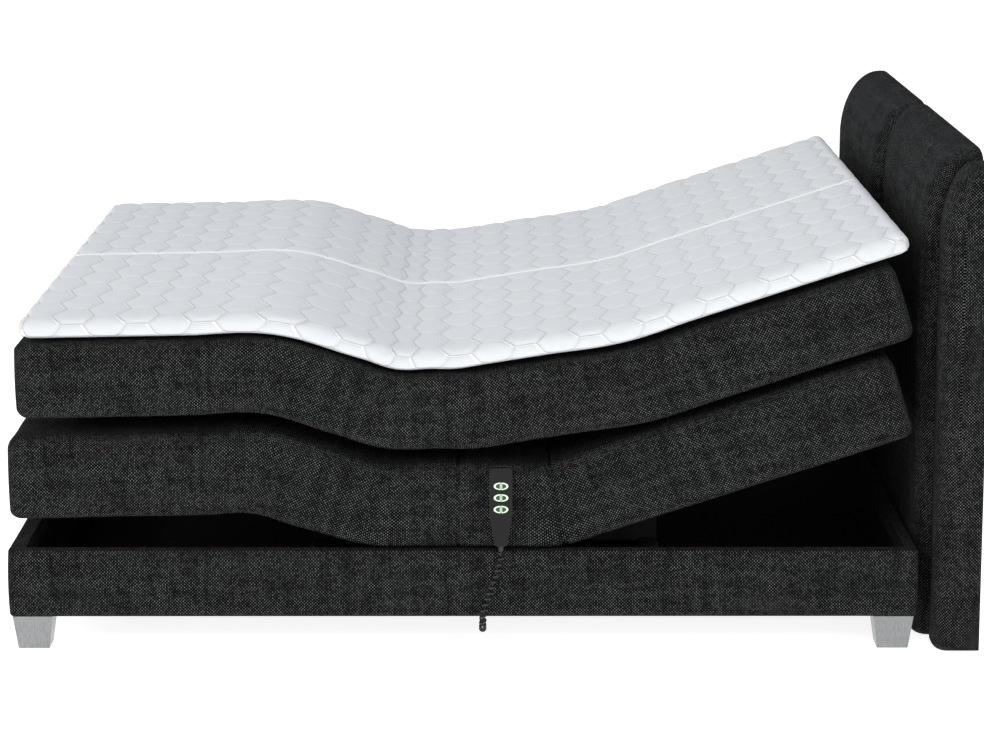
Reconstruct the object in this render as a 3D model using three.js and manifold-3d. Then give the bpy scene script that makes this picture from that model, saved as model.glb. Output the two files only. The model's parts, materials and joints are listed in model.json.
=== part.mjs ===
// An electrically adjustable boxspring bed: a fixed plinth on four legs, an upholstered box in four
// hinged sections, a mattress and a topper that bend with it, a three-panel headboard, the drive under
// the seat and a corded handset. Millimetres, +X towards the head, +Z up, -Y the side of the handset.
// Each layer is drawn lying flat and is then turned to the raised position that the bed is stored in.
import * as THREE from 'three';
import { mergeVertices } from 'three/addons/utils/BufferGeometryUtils.js';
import Module from 'manifold-3d';

const wasm = await Module();
wasm.setup();

// ---- driving dimensions ----
const air = 0.3;                 // air between pieces that touch
const bedLength = 2000;
const bedWidth = 1800;
const headboardThick = 130;
const headboardWidth = 1860;
const headboardHeight = 1100;
const headboardAir = 2;          // between the plinth and the headboard
const legHeight = 75;
const plinthHeight = 150;
const boxThick = 190;
const boxWidth = 1780;
const mattressThick = 175;
const mattressWidth = 1790;
const topperThick = 50;
const topperWidth = 1770;
const layerAir = 1;              // between box, mattress and topper when flat

const backRest = 18;             // stored angles above flat, in degrees
const thighRest = 16;
const backMax = 40;
const thighMax = 30;
const kneeRatio = 17 / 16;       // the calf section ends one degree below level at the stored angle
const seatLift = 95;             // how far the mattress seat rises, in mm for each radian of the back

// ---- levels and ends ----
const totalLength = bedLength + headboardAir + headboardThick;
const footEnd = -totalLength / 2;
const headEnd = footEnd + bedLength;
const headboardFront = headEnd + headboardAir;
const headboardBack = headboardFront + headboardThick;
const plinthTop = legHeight + plinthHeight;
const boxBottom = plinthTop + 0.5;
const boxTop = plinthTop + boxThick;
const mattressBottom = boxTop + layerAir;
const mattressTop = mattressBottom + mattressThick;
const topperBottom = mattressTop + layerAir;
const topperTop = topperBottom + topperThick;
const boxFoot = footEnd + 10;
const boxHead = headboardFront - 23;         // clears the headboard while its lower corner swings past
const mattressHead = headboardFront - 12.2;

// ---- pivots: x, z and the half angle of the wedge that lets the layer close above or below them ----
const backPivot = { x: 121, z: 385, wedge: backMax / 2 };
const thighPivot = { x: -250, z: 385, wedge: thighMax / 2 };
const kneePivot = { x: -510, z: 325, wedge: -thighMax * kneeRatio / 2 };
const lumbarBend = { x: -40, z: 516, wedge: backMax / 4 };
const backBend = { x: 320, z: 516, wedge: backMax / 4 };
const thighBend = { x: -230, z: 456, wedge: thighMax / 2 };
const kneeBend = { x: -510, z: 466, wedge: -thighMax * kneeRatio / 2 };
const topperShift = 45;
const topperLumbar = { x: lumbarBend.x - topperShift, z: topperTop, wedge: 0 };
const topperBack = { x: backBend.x - topperShift, z: topperTop, wedge: 0 };

const rad = THREE.MathUtils.degToRad;
const round = 24;                // sides of round pieces

// ---- materials ----
const paint = (color, roughness, metalness = 0) =>
  new THREE.MeshStandardMaterial({ color, roughness, metalness });
const charcoalWeave = paint(0x2b2b2d, 0.95);
const quiltedCotton = paint(0xeef1f4, 0.9);
const plywood = paint(0xc9a877, 0.7);
const darkBoard = paint(0x1c1b1a, 0.9);
const satinMetal = paint(0xc3c6c9, 0.3, 1);
const blackSteel = paint(0x25272a, 0.5, 0.6);
const darkPlastic = paint(0x1a1b1d, 0.45);
const greyPlastic = paint(0x55585c, 0.5);
const rollerPlastic = paint(0xdadad4, 0.5);
const keyPlastic = paint(0x9fd39b, 0.4);
const cordPlastic = paint(0x161617, 0.5);

// ---- helpers ----
const root = new THREE.Group();

function add(parent, name, geometry, material) {
  const mesh = new THREE.Mesh(geometry, material);
  mesh.name = name;
  parent.add(mesh);
}

function block(x0, x1, y0, y1, z0, z1) {
  const geometry = new THREE.BoxGeometry(x1 - x0, y1 - y0, z1 - z0);
  return geometry.translate((x0 + x1) / 2, (y0 + y1) / 2, (z0 + z1) / 2);
}

function rodAcross(radius, y0, y1, x, z, sides = round) {
  const geometry = new THREE.CylinderGeometry(radius, radius, y1 - y0, sides);
  return geometry.translate(x, (y0 + y1) / 2, z);
}

// A plate with its outline in x and z, reaching from y0 to y1.
function plate(outline, y0, y1) {
  const shape = outline instanceof THREE.Shape ? outline : new THREE.Shape(outline);
  const settings = { depth: y1 - y0, bevelEnabled: false, curveSegments: 8 };
  const geometry = new THREE.ExtrudeGeometry(shape, settings);
  return geometry.rotateX(Math.PI / 2).translate(0, y1, 0);
}

function toSolid(geometry) {
  const bare = geometry.clone();
  bare.deleteAttribute('normal');
  bare.deleteAttribute('uv');
  const merged = mergeVertices(bare, 1e-4);
  const vertProperties = new Float32Array(merged.attributes.position.array);
  const triVerts = new Uint32Array(merged.index.array);
  return new wasm.Manifold(new wasm.Mesh({ numProp: 3, vertProperties, triVerts }));
}

function fromSolid(solid) {
  const { vertProperties, triVerts } = solid.getMesh();
  const geometry = new THREE.BufferGeometry();
  geometry.setAttribute('position', new THREE.BufferAttribute(vertProperties, 3));
  geometry.setIndex(new THREE.BufferAttribute(triVerts, 1));
  return geometry;
}

function join(...geometries) {
  return fromSolid(geometries.map(toSolid).reduce((sum, solid) => sum.add(solid)));
}

function cut(geometry, ...tools) {
  return fromSolid(tools.map(toSolid).reduce((rest, tool) => rest.subtract(tool), toSolid(geometry)));
}

function circle(x, z, radius, sides = round) {
  const step = 2 * Math.PI / sides;
  return Array.from({ length: sides }, (_, i) =>
    new THREE.Vector2(x + radius * Math.cos(i * step), z + radius * Math.sin(i * step)));
}

// The outline of a band stretched round the points, anticlockwise.
function band(points) {
  const turn = (a, b, c) => (b.x - a.x) * (c.y - a.y) - (b.y - a.y) * (c.x - a.x);
  const chain = (list) => {
    const kept = [];
    for (const point of list) {
      while (kept.length > 1 && turn(kept.at(-2), kept.at(-1), point) <= 1e-9) kept.pop();
      kept.push(point);
    }
    return kept.slice(0, -1);
  };
  const sorted = [...points].sort((a, b) => a.x - b.x || a.y - b.y);
  return [...chain(sorted), ...chain([...sorted].reverse())];
}

const point = (x, z) => new THREE.Vector2(x, z);

// A group whose children keep their flat places and turn about a line along Y through the pivot.
// A positive angle raises the head side of the pivot.
function turned(parent, pivot, degrees) {
  const hinge = new THREE.Group();
  hinge.position.set(pivot.x, 0, pivot.z);
  hinge.rotation.y = -rad(degrees);
  const flat = new THREE.Group();
  flat.position.set(-pivot.x, 0, -pivot.z);
  hinge.add(flat);
  parent.add(hinge);
  return flat;
}

function shifted(parent, dx, dz) {
  const group = new THREE.Group();
  group.position.set(dx, 0, dz);
  parent.add(group);
  return group;
}

// One side of a layer's outline at a pivot, from bottom to top, cut back by the pivot's wedge:
// a positive wedge closes above the pivot, a negative one below it. side is -1 for the piece on the
// pivot's foot side and 1 for the piece on its head side.
function jointEdge(pivot, bottom, top, side) {
  if (typeof pivot === 'number') return [point(pivot, bottom), point(pivot, top)];
  const x = pivot.x + side * (air + 0.1);
  const slope = side * Math.tan(rad(Math.abs(pivot.wedge)));
  const reach = (z) => {
    const depth = pivot.wedge > 0 ? z - pivot.z : pivot.z - z;
    return x + slope * Math.max(depth, 0);
  };
  const levels = [bottom, pivot.z, top].filter((z) => z >= bottom && z <= top);
  return [...new Set(levels)].map((z) => point(reach(z), z));
}

// A closed length of a layer between two pivots or ends, seen from the side and extruded across the bed.
function layerPiece(footSide, headSide, bottom, top, width) {
  const outline = [
    ...jointEdge(headSide, bottom, top, -1),
    ...jointEdge(footSide, bottom, top, 1).reverse(),
  ];
  return plate(outline, -width / 2, width / 2);
}

// ---- moving groups, nested as the bed is hinged ----
const back = turned(root, backPivot, backRest);
const thigh = turned(root, thighPivot, -thighRest);
const calf = turned(thigh, kneePivot, thighRest * kneeRatio);
const mattressSeat = shifted(root, 0, seatLift * rad(backRest));
const mattressLumbar = turned(mattressSeat, lumbarBend, backRest / 2);
const mattressBack = turned(mattressLumbar, backBend, backRest / 2);
const mattressThigh = turned(mattressSeat, thighBend, -thighRest);
const mattressCalf = turned(mattressThigh, kneeBend, thighRest * kneeRatio);
const topperLumbarGroup = turned(mattressSeat, topperLumbar, backRest / 2);
const topperBackGroup = turned(topperLumbarGroup, topperBack, backRest / 2);

// ---- plinth and legs ----
const boardThick = 20;
const plinthPad = 15;            // foam and fabric outside the boards
const boardEdge = 1;             // the boards end this far inside the fabric, above and below
const floorLevel = legHeight + 2;
const floorThick = 3;
const postRadius = 25;           // the centre leg
const cordEntry = { x: -22, y: -828 };

function buildPlinth() {
  const outerX = [footEnd + plinthPad, headEnd - 5];
  const outerY = bedWidth / 2 - plinthPad;
  const z0 = legHeight + boardEdge;
  const z1 = plinthTop - boardEdge;
  const innerX = [outerX[0] + boardThick + air, outerX[1] - boardThick - air];
  add(root, 'plinth_board_right', block(...outerX, -outerY, -outerY + boardThick, z0, z1), plywood);
  add(root, 'plinth_board_left', block(...outerX, outerY - boardThick, outerY, z0, z1), plywood);
  const across = outerY - boardThick - air;
  add(root, 'plinth_board_foot', block(outerX[0], innerX[0] - air, -across, across, z0, z1), plywood);
  add(root, 'plinth_board_head', block(innerX[1] + air, outerX[1], -across, across, z0, z1), plywood);

  const outer = block(footEnd, headEnd, -bedWidth / 2, bedWidth / 2, legHeight, plinthTop);
  const inner = block(outerX[0] - air, outerX[1] + air, -outerY - air, outerY + air, 0, plinthTop + 1);
  add(root, 'plinth_upholstery', cut(outer, inner), charcoalWeave);

  const floorY = across - air;
  const floorTop = floorLevel + floorThick;
  const floor = block(innerX[0] + air, innerX[1] - air, -floorY, floorY, floorLevel, floorTop);
  const hole = (radius, x, y) => {
    const tool = new THREE.CylinderGeometry(radius, radius, 4 * floorThick, round);
    return tool.rotateX(Math.PI / 2).translate(x, y, floorLevel);
  };
  const openings = [hole(postRadius + 2, 0, 0), hole(13, cordEntry.x, cordEntry.y)];
  add(root, 'plinth_floor', cut(floor, ...openings), darkBoard);
}

const legTop = 88;
const legFoot = 68;
const legInset = 52;

function buildLegs() {
  const height = legHeight - air;
  const frustum = new THREE.CylinderGeometry(legTop / Math.SQRT2, legFoot / Math.SQRT2, height, 4);
  frustum.rotateX(Math.PI / 2).rotateZ(Math.PI / 4).translate(0, 0, height / 2);
  const ends = { foot: footEnd + legInset, head: headEnd - legInset };
  const sides = { right: -bedWidth / 2 + legInset, left: bedWidth / 2 - legInset };
  for (const [end, x] of Object.entries(ends)) {
    for (const [side, y] of Object.entries(sides)) {
      add(root, `leg_${end}_${side}`, frustum.clone().translate(x, y, 0), satinMetal);
    }
  }
}

// ---- box sections ----
const railThick = 20;
const railBottom = boxBottom + 2.5;
const railHeight = 40;
const deckThick = 12;
const deckBottom = railBottom + railHeight;
const deckTop = deckBottom + deckThick;
const deckWidth = 1710;
const innerRail = 285;           // inner faces of the seat and calf rails
const outerRail = 307;           // inner faces of the back and thigh rails, just outside the others
const eyeRadius = 16;
const earFoot = 30;              // how far an ear runs along its rail
const pinRadius = 6;
const pinHole = 6.4;

// The rails of one section: a bar under the deck, with an ear at each pivot and any extra plates.
function sectionFrame(x0, x1, railY, pivots, extras = []) {
  const parts = [block(x0, x1, -deckWidth / 2, deckWidth / 2, deckBottom - 1, deckTop)];
  const holes = [];
  for (const y of [-railY - railThick, railY]) {
    parts.push(block(x0, x1, y, y + railThick, railBottom, deckBottom));
    for (const { x, z } of pivots) {
      const inward = Math.abs(x - x0) < Math.abs(x - x1) ? x0 : x1;
      const away = Math.sign(inward - x);
      const foot = [point(inward, railBottom), point(inward + away * earFoot, railBottom),
        point(inward, deckTop), point(inward + away * earFoot, deckTop)];
      parts.push(plate(band([...circle(x, z, eyeRadius), ...foot]), y, y + railThick));
      holes.push(rodAcross(pinHole, y - 1, y + railThick + 1, x, z));
    }
    for (const outline of extras) parts.push(plate(outline, y, y + railThick));
  }
  return cut(join(...parts), ...holes);
}

// The foam round a section's frame: solid above it, hollow below it, with slots for the ears and pins.
function sectionFoam(footSide, headSide, x0, x1, pivots) {
  const slack = 3;
  const pocket = block(x0 - slack, x1 + slack, -deckWidth / 2 - slack, deckWidth / 2 + slack,
    0, deckTop + air);
  const tools = [pocket];
  for (const { x, z } of pivots) {
    const nearEnd = Math.abs(x - x0) < Math.abs(x - x1) ? x0 : x1;
    const reach = eyeRadius + 5;
    const farEnd = nearEnd + Math.sign(nearEnd - x) * (earFoot + slack);
    const [low, high] = [Math.min(farEnd, x - reach), Math.max(farEnd, x + reach)];
    for (const y of [-outerRail - railThick - slack, innerRail - slack]) {
      const width = outerRail + railThick - innerRail + 2 * slack;
      tools.push(block(low, high, y, y + width, 0, z + reach));
    }
    tools.push(rodAcross(pinRadius + 4, -outerRail - 40, outerRail + 40, x, z));
  }
  return cut(layerPiece(footSide, headSide, boxBottom, boxTop, boxWidth), ...tools);
}

// ---- lifting drive: a torque tube with two roller arms turns as its section rises ----
const tubeRadius = 16;
const tubeLevel = 150;
const rollerRadius = 17;
const rollerFlat = 188;          // height of the roller's centre when the section is flat
const leverBase = 30;            // base circle of the lever's involute face
const leverEnd = 8;              // the slider stops this short of the tube's centre line
const leverThick = 12;           // the lever's back lies this far behind its face
const sliderLength = 150;
const sliderHalf = 12;
const backLift = {
  pivot: backPivot, side: 1, out: 150, arm: 220, ratio: 1.25, rest: backRest, max: backMax,
};
const legLift = {
  pivot: thighPivot, side: -1, out: 60, arm: 140, ratio: 0.975, rest: thighRest, max: thighMax,
};

const tubeX = ({ pivot, side, out }) => pivot.x + side * out;
const armStart = ({ arm }) => Math.asin((rollerFlat - tubeLevel) / arm);

// The roller's centre beside a section raised by the angle, as x outwards and z from the section's pivot.
function rollerInSection(lift, angle) {
  const phi = armStart(lift) + lift.ratio * angle;
  const x = lift.out + lift.arm * Math.cos(phi);
  const z = tubeLevel - lift.pivot.z + lift.arm * Math.sin(phi);
  return point(x * Math.cos(angle) + z * Math.sin(angle), z * Math.cos(angle) - x * Math.sin(angle));
}

// The plate under a section whose curved lower edge the roller follows at a constant turning ratio.
function trackOutline(lift) {
  const steps = 12;
  const overrun = rad(3);
  const edge = [];
  for (let i = 0; i <= steps; i += 1) {
    const angle = -overrun + (rad(lift.max) + 2 * overrun) * i / steps;
    const here = rollerInSection(lift, angle);
    const next = rollerInSection(lift, angle + 1e-4);
    const along = next.clone().sub(here).normalize();
    const normal = point(along.y, -along.x);
    here.addScaledVector(normal, rollerRadius + air);
    edge.push(point(lift.pivot.x + lift.side * here.x, lift.pivot.z + here.y));
  }
  const top = railBottom + 5;
  const outline = [...edge, point(edge.at(-1).x, top), point(edge[0].x, top)];
  return THREE.ShapeUtils.isClockWise(outline) ? outline.reverse() : outline;
}

// The lever that the slider pushes: its face is an involute, so travel and turn keep one ratio.
const leverReach = (lift, turn) => -leverEnd - leverBase * (lift.ratio * rad(lift.max) - turn);

function leverOutline(lift) {
  const steps = 10;
  const overrun = 0.08;
  const face = [];
  for (let i = steps; i >= 0; i -= 1) {
    const turn = -overrun + (lift.ratio * rad(lift.max) + 2 * overrun) * i / steps;
    const reach = leverReach(lift, turn);
    const x = reach * Math.cos(turn) - leverBase * Math.sin(turn);
    const z = -reach * Math.sin(turn) - leverBase * Math.cos(turn);
    face.push(point(lift.side * x, z));
  }
  const tip = face.at(-1);
  const heel = [point(tip.x + lift.side * leverThick, tip.y - 7), point(lift.side * 2, -14)];
  const outline = [point(-lift.side * 10, -2), ...face, ...heel];
  return THREE.ShapeUtils.isClockWise(outline) ? outline.reverse() : outline;
}

const chassisY = 360;            // inner faces of the chassis side plates
const chassisPlate = 8;
const armThick = 12;
const armInner = outerRail - 3 - armThick - air;
const axleRadius = 5;
const rollerWidth = railThick - 2;

function buildLift(name, lift) {
  const x = tubeX(lift);
  const start = armStart(lift);
  const rollerX = lift.side * lift.arm * Math.cos(start);
  const rollerZ = lift.arm * Math.sin(start);
  const parts = [rodAcross(tubeRadius, -chassisY - 30, chassisY + 30, 0, 0)];
  parts.push(plate(leverOutline(lift), -10, 10));
  const armOutline = band([...circle(0, 0, tubeRadius + 8), ...circle(rollerX, rollerZ, 11)]);
  for (const side of [-1, 1]) {
    const y0 = side > 0 ? armInner : -armInner - armThick;
    parts.push(plate(armOutline, y0, y0 + armThick));
    const axle = [armInner + 1, outerRail + railThick];
    const span = side > 0 ? axle : [-axle[1], -axle[0]];
    parts.push(rodAcross(axleRadius, ...span, rollerX, rollerZ, 16));
  }
  const group = new THREE.Group();
  group.position.set(x, 0, tubeLevel);
  group.rotation.y = -lift.side * rad(lift.rest) * lift.ratio;
  root.add(group);
  add(group, `${name}_torque_tube`, join(...parts), blackSteel);

  for (const [label, side] of [['right', -1], ['left', 1]]) {
    const span = side > 0 ? [outerRail, outerRail + rollerWidth] : [-outerRail - rollerWidth, -outerRail];
    const tyre = rodAcross(rollerRadius, ...span, rollerX, rollerZ);
    const bore = rodAcross(axleRadius + air, span[0] - 1, span[1] + 1, rollerX, rollerZ, 16);
    add(group, `${name}_roller_${label}`, cut(tyre, bore), rollerPlastic);
  }

  const faceX = x + lift.side * (leverReach(lift, lift.ratio * rad(lift.rest)) - air);
  const [low, high] = [faceX - lift.side * sliderLength, faceX].sort((a, b) => a - b);
  const levels = [tubeLevel - leverBase - sliderHalf, tubeLevel - leverBase + sliderHalf];
  add(root, `${name}_slider`, block(low, high, -sliderHalf, sliderHalf, ...levels), rollerPlastic);
}

const trayTop = 96;
const trayThick = 3;
const trayHalf = 60;
const crossWidth = 40;           // the tubes across the plinth
const crossHeight = 26;
const crossAway = 75;            // from a torque tube's line to the near face of its cross tube
const driveEnds = [tubeX(legLift) + 60, tubeX(backLift) - 60];

function buildChassis() {
  const footTube = tubeX(legLift) - crossAway;
  const headTube = tubeX(backLift) + crossAway;
  const [low, high] = [footTube - crossWidth, headTube + crossWidth];
  const sideBoard = bedWidth / 2 - plinthPad - boardThick - air;
  const parts = [block(low, high, -trayHalf, trayHalf, trayTop - trayThick, trayTop)];
  for (const x of [low, headTube]) {
    parts.push(block(x, x + crossWidth, -sideBoard, sideBoard, trayTop - 1, trayTop + crossHeight));
  }
  const bores = [];
  for (const y of [-chassisY - chassisPlate, chassisY]) {
    parts.push(block(low, high, y, y + chassisPlate, trayTop + 20, tubeLevel + 30));
    for (const lift of [backLift, legLift]) {
      bores.push(rodAcross(tubeRadius + air, y - 1, y + chassisPlate + 1, tubeX(lift), tubeLevel));
    }
  }
  add(root, 'chassis_frame', cut(join(...parts), ...bores), blackSteel);
  const postHeight = trayTop - trayThick - air;
  const post = new THREE.CylinderGeometry(postRadius, postRadius, postHeight, round);
  add(root, 'centre_leg', post.rotateX(Math.PI / 2).translate(0, 0, postHeight / 2), blackSteel);
}

const motor = { radius: 27, length: 130, aside: 90 };
const channelHalf = sliderHalf + 0.5;

function buildDrive() {
  const [low, high] = driveEnds;
  const top = tubeLevel + 8;
  const level = tubeLevel - leverBase;
  const middle = (low + high) / 2;
  const parts = [block(low, high, -70, 70, trayTop + air, top)];
  for (const side of [-1, 1]) {
    const can = new THREE.CylinderGeometry(motor.radius, motor.radius, motor.length, round);
    can.rotateZ(Math.PI / 2);
    parts.push(can.translate(middle + side * motor.aside, side * motor.aside, trayTop + 30));
  }
  const channel = [-channelHalf, channelHalf, level - channelHalf, level + channelHalf];
  const channels = [
    block(low - 1, low + sliderLength, ...channel),
    block(high - sliderLength, high + 1, ...channel),
  ];
  add(root, 'drive_housing', cut(join(...parts), ...channels), darkPlastic);
}

// ---- control box behind the near side board, with its mains inlet and the handset cord's entry ----
const controlBox = { x0: -110, x1: 90, y1: -795, z0: 98, z1: 152 };

function buildControlBox() {
  const y0 = -bedWidth / 2 + plinthPad + boardThick + air;
  const { x0, x1, y1, z0, z1 } = controlBox;
  const casing = block(x0, x1, y0, y1, z0, z1);
  const inlet = block(x1 - 18, x1 + 1, y0 + 20, y0 + 47, z0 + 16, z0 + 36);
  const gland = new THREE.CylinderGeometry(11, 8, 12, 16).rotateX(Math.PI / 2);
  gland.translate(cordEntry.x, cordEntry.y, z0 - 5);
  add(root, 'control_box', cut(join(casing, gland), inlet), darkPlastic);
}

// ---- headboard ----
const boardInset = 15;
const boardTop = 1055;
const bracketThick = 3.2;
const bracketReach = 90;         // under the plinth
const bracketFoot = 20;
const bracketWidth = 60;
const bracketY = 430;
const padEdges = [-930, -800, 120, 930];     // across the bed, from the handset's side
const padGap = 1;
const padSweepZ = 170;                       // height of the rounded front top edge
const padCrest = 25;                         // its top stays level this far from the back
const sidePadBack = 30;                      // how far the narrow pad's front stands back
const sidePadLow = 22;                       // and how far its top stays below the others

function padOutline(front, rear, top, sweepX) {
  const outline = new THREE.Shape();
  outline.moveTo(front + 12, 0);
  outline.lineTo(rear - 10, 0);
  outline.quadraticCurveTo(rear, 0, rear, 10);
  outline.lineTo(rear, top - 12);
  outline.quadraticCurveTo(rear, top, rear - 12, top);
  outline.lineTo(front + sweepX, top);
  outline.absellipse(front + sweepX, top - padSweepZ, sweepX, padSweepZ, Math.PI / 2, Math.PI, false);
  outline.lineTo(front, 12);
  outline.quadraticCurveTo(front, 0, front + 12, 0);
  return outline;
}

function buildHeadboard() {
  const half = headboardWidth / 2;
  const core = [headboardBack - 20, headboardBack - 4];
  const edge = half - boardInset;
  const board = block(...core, -edge, edge, boardInset, boardTop);
  add(root, 'headboard_board', board, plywood);
  const reach = half - boardInset + air;
  const ends = [boardInset - air, boardTop + air];
  const space = block(core[0] - air, core[1] + air, -reach, reach, ...ends);

  const slot = block(core[0] - air, headboardBack + 1, -20, 20, 100, headboardHeight - 100);
  ['right', 'centre', 'left'].forEach((label, i) => {
    const y0 = padEdges[i] + (i > 0 ? padGap / 2 : 0);
    const y1 = padEdges[i + 1] - (i < 2 ? padGap / 2 : 0);
    const front = headboardFront + (i > 0 ? 0 : sidePadBack);
    const top = headboardHeight - (i > 0 ? 0 : sidePadLow);
    const outline = padOutline(front, headboardBack, top, headboardBack - front - padCrest);
    const window = slot.clone().translate(0, (y0 + y1) / 2, 0);
    add(root, `headboard_pad_${label}`, cut(plate(outline, y0, y1), space, window), charcoalWeave);
  });

  const bend = { x: headboardFront - air, z: legHeight - air };
  const bracket = [
    point(headEnd - bracketReach, bend.z - bracketThick),
    point(bend.x - bracketThick, bend.z - bracketThick),
    point(bend.x - bracketThick, bracketFoot),
    point(bend.x, bracketFoot),
    point(bend.x, bend.z),
    point(headEnd - bracketReach, bend.z),
  ];
  const [near, far] = [bracketY - bracketWidth / 2, bracketY + bracketWidth / 2];
  add(root, 'headboard_bracket_right', plate(bracket, -far, -near), blackSteel);
  add(root, 'headboard_bracket_left', plate(bracket, near, far), blackSteel);
}

// ---- box ----
const frameSpans = { seat: [-222, 93], back: [149, 885], thigh: [-474, -278], calf: [-1030, -546] };
const rodHalf = 340;

function buildBox() {
  const frame = frameSpans;
  const hingeRod = ({ x, z }) => rodAcross(pinRadius, -rodHalf, rodHalf, x, z);
  const seatPivots = [thighPivot, backPivot];
  add(root, 'seat_frame', sectionFrame(...frame.seat, innerRail, seatPivots), plywood);
  const seatFoam = sectionFoam(thighPivot, backPivot, ...frame.seat, seatPivots);
  add(root, 'seat_upholstery', seatFoam, charcoalWeave);
  add(root, 'back_hinge_rod', hingeRod(backPivot), satinMetal);
  add(root, 'thigh_hinge_rod', hingeRod(thighPivot), satinMetal);

  const backTrack = [trackOutline(backLift)];
  add(back, 'back_frame', sectionFrame(...frame.back, outerRail, [backPivot], backTrack), plywood);
  const backFoam = sectionFoam(backPivot, boxHead, ...frame.back, [backPivot]);
  add(back, 'back_upholstery', backFoam, charcoalWeave);

  const legTrack = [trackOutline(legLift)];
  const thighFrame = sectionFrame(...frame.thigh, outerRail, [kneePivot, thighPivot], legTrack);
  add(thigh, 'thigh_frame', thighFrame, plywood);
  const thighFoam = sectionFoam(kneePivot, thighPivot, ...frame.thigh, [kneePivot, thighPivot]);
  add(thigh, 'thigh_upholstery', thighFoam, charcoalWeave);
  add(thigh, 'knee_hinge_rod', hingeRod(kneePivot), satinMetal);

  add(calf, 'calf_frame', sectionFrame(...frame.calf, innerRail, [kneePivot]), plywood);
  const calfFoam = sectionFoam(boxFoot, kneePivot, ...frame.calf, [kneePivot]);
  add(calf, 'calf_upholstery', calfFoam, charcoalWeave);
}

// ---- mattress and topper ----
function buildBedding() {
  const mattress = (a, b) => layerPiece(a, b, mattressBottom, mattressTop, mattressWidth);
  add(mattressSeat, 'mattress_seat', mattress(thighBend, lumbarBend), charcoalWeave);
  add(mattressLumbar, 'mattress_lumbar', mattress(lumbarBend, backBend), charcoalWeave);
  add(mattressBack, 'mattress_back', mattress(backBend, mattressHead), charcoalWeave);
  add(mattressThigh, 'mattress_thigh', mattress(kneeBend, thighBend), charcoalWeave);
  add(mattressCalf, 'mattress_calf', mattress(boxFoot, kneeBend), charcoalWeave);

  const topper = (a, b) => layerPiece(a, b, topperBottom, topperTop, topperWidth);
  const topperFoot = boxFoot + 16;
  add(mattressSeat, 'topper_seat', topper(thighBend, topperLumbar), quiltedCotton);
  add(topperLumbarGroup, 'topper_lumbar', topper(topperLumbar, topperBack), quiltedCotton);
  add(topperBackGroup, 'topper_back', topper(topperBack, mattressHead), quiltedCotton);
  add(mattressThigh, 'topper_thigh', topper(kneeBend, thighBend), quiltedCotton);
  add(mattressCalf, 'topper_calf', topper(topperFoot, kneeBend), quiltedCotton);
}

// ---- handset, hanging on its plate beside the seat ----
const handset = { x: 17, back: -897.6, thick: 24, bottom: 240, top: 416 };
const keyRows = [376, 350, 324];
const keyProud = 1.5;
const keySize = { halfWidth: 15, halfHeight: 8, middle: 0.9 };
const glandLength = 12;
const hook = { half: 13, bottom: 330, top: 410 };

// A half oval key outline; side is -1 or 1.
function keyOutline(z, side, grow) {
  const [rx, rz] = [keySize.halfWidth + grow, keySize.halfHeight + grow];
  const x = handset.x + side * (keySize.middle - grow);
  const shape = new THREE.Shape();
  const start = side > 0 ? -Math.PI / 2 : Math.PI / 2;
  shape.absellipse(x, z, rx, rz, start, start + Math.PI, false);
  return shape;
}

function buildHandset() {
  const { x, back: rear, thick, bottom, top } = handset;
  const outline = band([
    ...circle(x - 15, top - 10, 10), ...circle(x + 15, top - 10, 10),
    ...circle(x - 15, 310, 10), ...circle(x + 15, 310, 10),
    ...circle(x - 6, bottom + 9, 9), ...circle(x + 6, bottom + 9, 9),
  ]);
  const middle = rear - thick / 2;
  const front = rear - thick;
  const hollow = block(x - 19, x + 19, middle - 8, middle + 8, 296, top - 12);
  const frontShell = plate(outline, front, middle - air / 2);
  const holes = [];
  keyRows.forEach((z, row) => {
    for (const [label, side] of [['left', -1], ['right', 1]]) {
      holes.push(plate(keyOutline(z, side, 0.35), front - 1, middle));
      const key = plate(keyOutline(z, side, 0), front - keyProud, middle - 2);
      add(root, `key_${row + 1}_${label}`, key, keyPlastic);
    }
  });
  add(root, 'handset_front', cut(frontShell, hollow, ...holes), darkPlastic);
  add(root, 'handset_back', cut(plate(outline, middle + air / 2, rear), hollow), greyPlastic);
  const hookDepth = [rear + air, -boxWidth / 2 - air];
  const hookPlate = block(x - hook.half, x + hook.half, ...hookDepth, hook.bottom, hook.top);
  add(root, 'handset_hook', hookPlate, greyPlastic);
  const gland = new THREE.CylinderGeometry(7, 5.5, glandLength, 16).rotateX(Math.PI / 2);
  gland.translate(x, middle, bottom - air - glandLength / 2);
  add(root, 'handset_gland', gland, cordPlastic);
}

// ---- the curly cord, as the tube that its turns fill ----
const curlDiameter = 17;
const curlRoute = [
  [17, -909.6, 227.2], [17, -909.6, 219], [16, -910, 210], [12, -910.5, 195], [5, -911, 170],
  [-4, -911, 145], [-13, -911, 120], [-19, -911, 98], [-22, -911, 78], [-23, -908, 63],
  [-23, -896, 50], [-23, -876, 44], [-23, -852, 48], [-22.5, -835, 60], [-22, -828, 74],
  [-22, -828, 86.5],
];

function buildCord() {
  const points = curlRoute.map((place) => new THREE.Vector3(...place));
  const route = new THREE.CatmullRomCurve3(points, false, 'centripetal');
  const section = new THREE.Shape(circle(0, 0, curlDiameter / 2, 10));
  const tube = new THREE.ExtrudeGeometry(section, { steps: 24, bevelEnabled: false, extrudePath: route });
  add(root, 'cord_curl', tube, cordPlastic);
}

buildPlinth();
buildLegs();
buildChassis();
buildDrive();
buildLift('back', backLift);
buildLift('leg', legLift);
buildControlBox();
buildHeadboard();
buildBox();
buildBedding();
buildHandset();
buildCord();

export default root;
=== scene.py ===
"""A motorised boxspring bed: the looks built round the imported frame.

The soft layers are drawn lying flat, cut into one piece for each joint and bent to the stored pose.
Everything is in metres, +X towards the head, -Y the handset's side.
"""
import json
import math

import bpy
import numpy as np
from mathutils import Matrix, Vector

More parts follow.
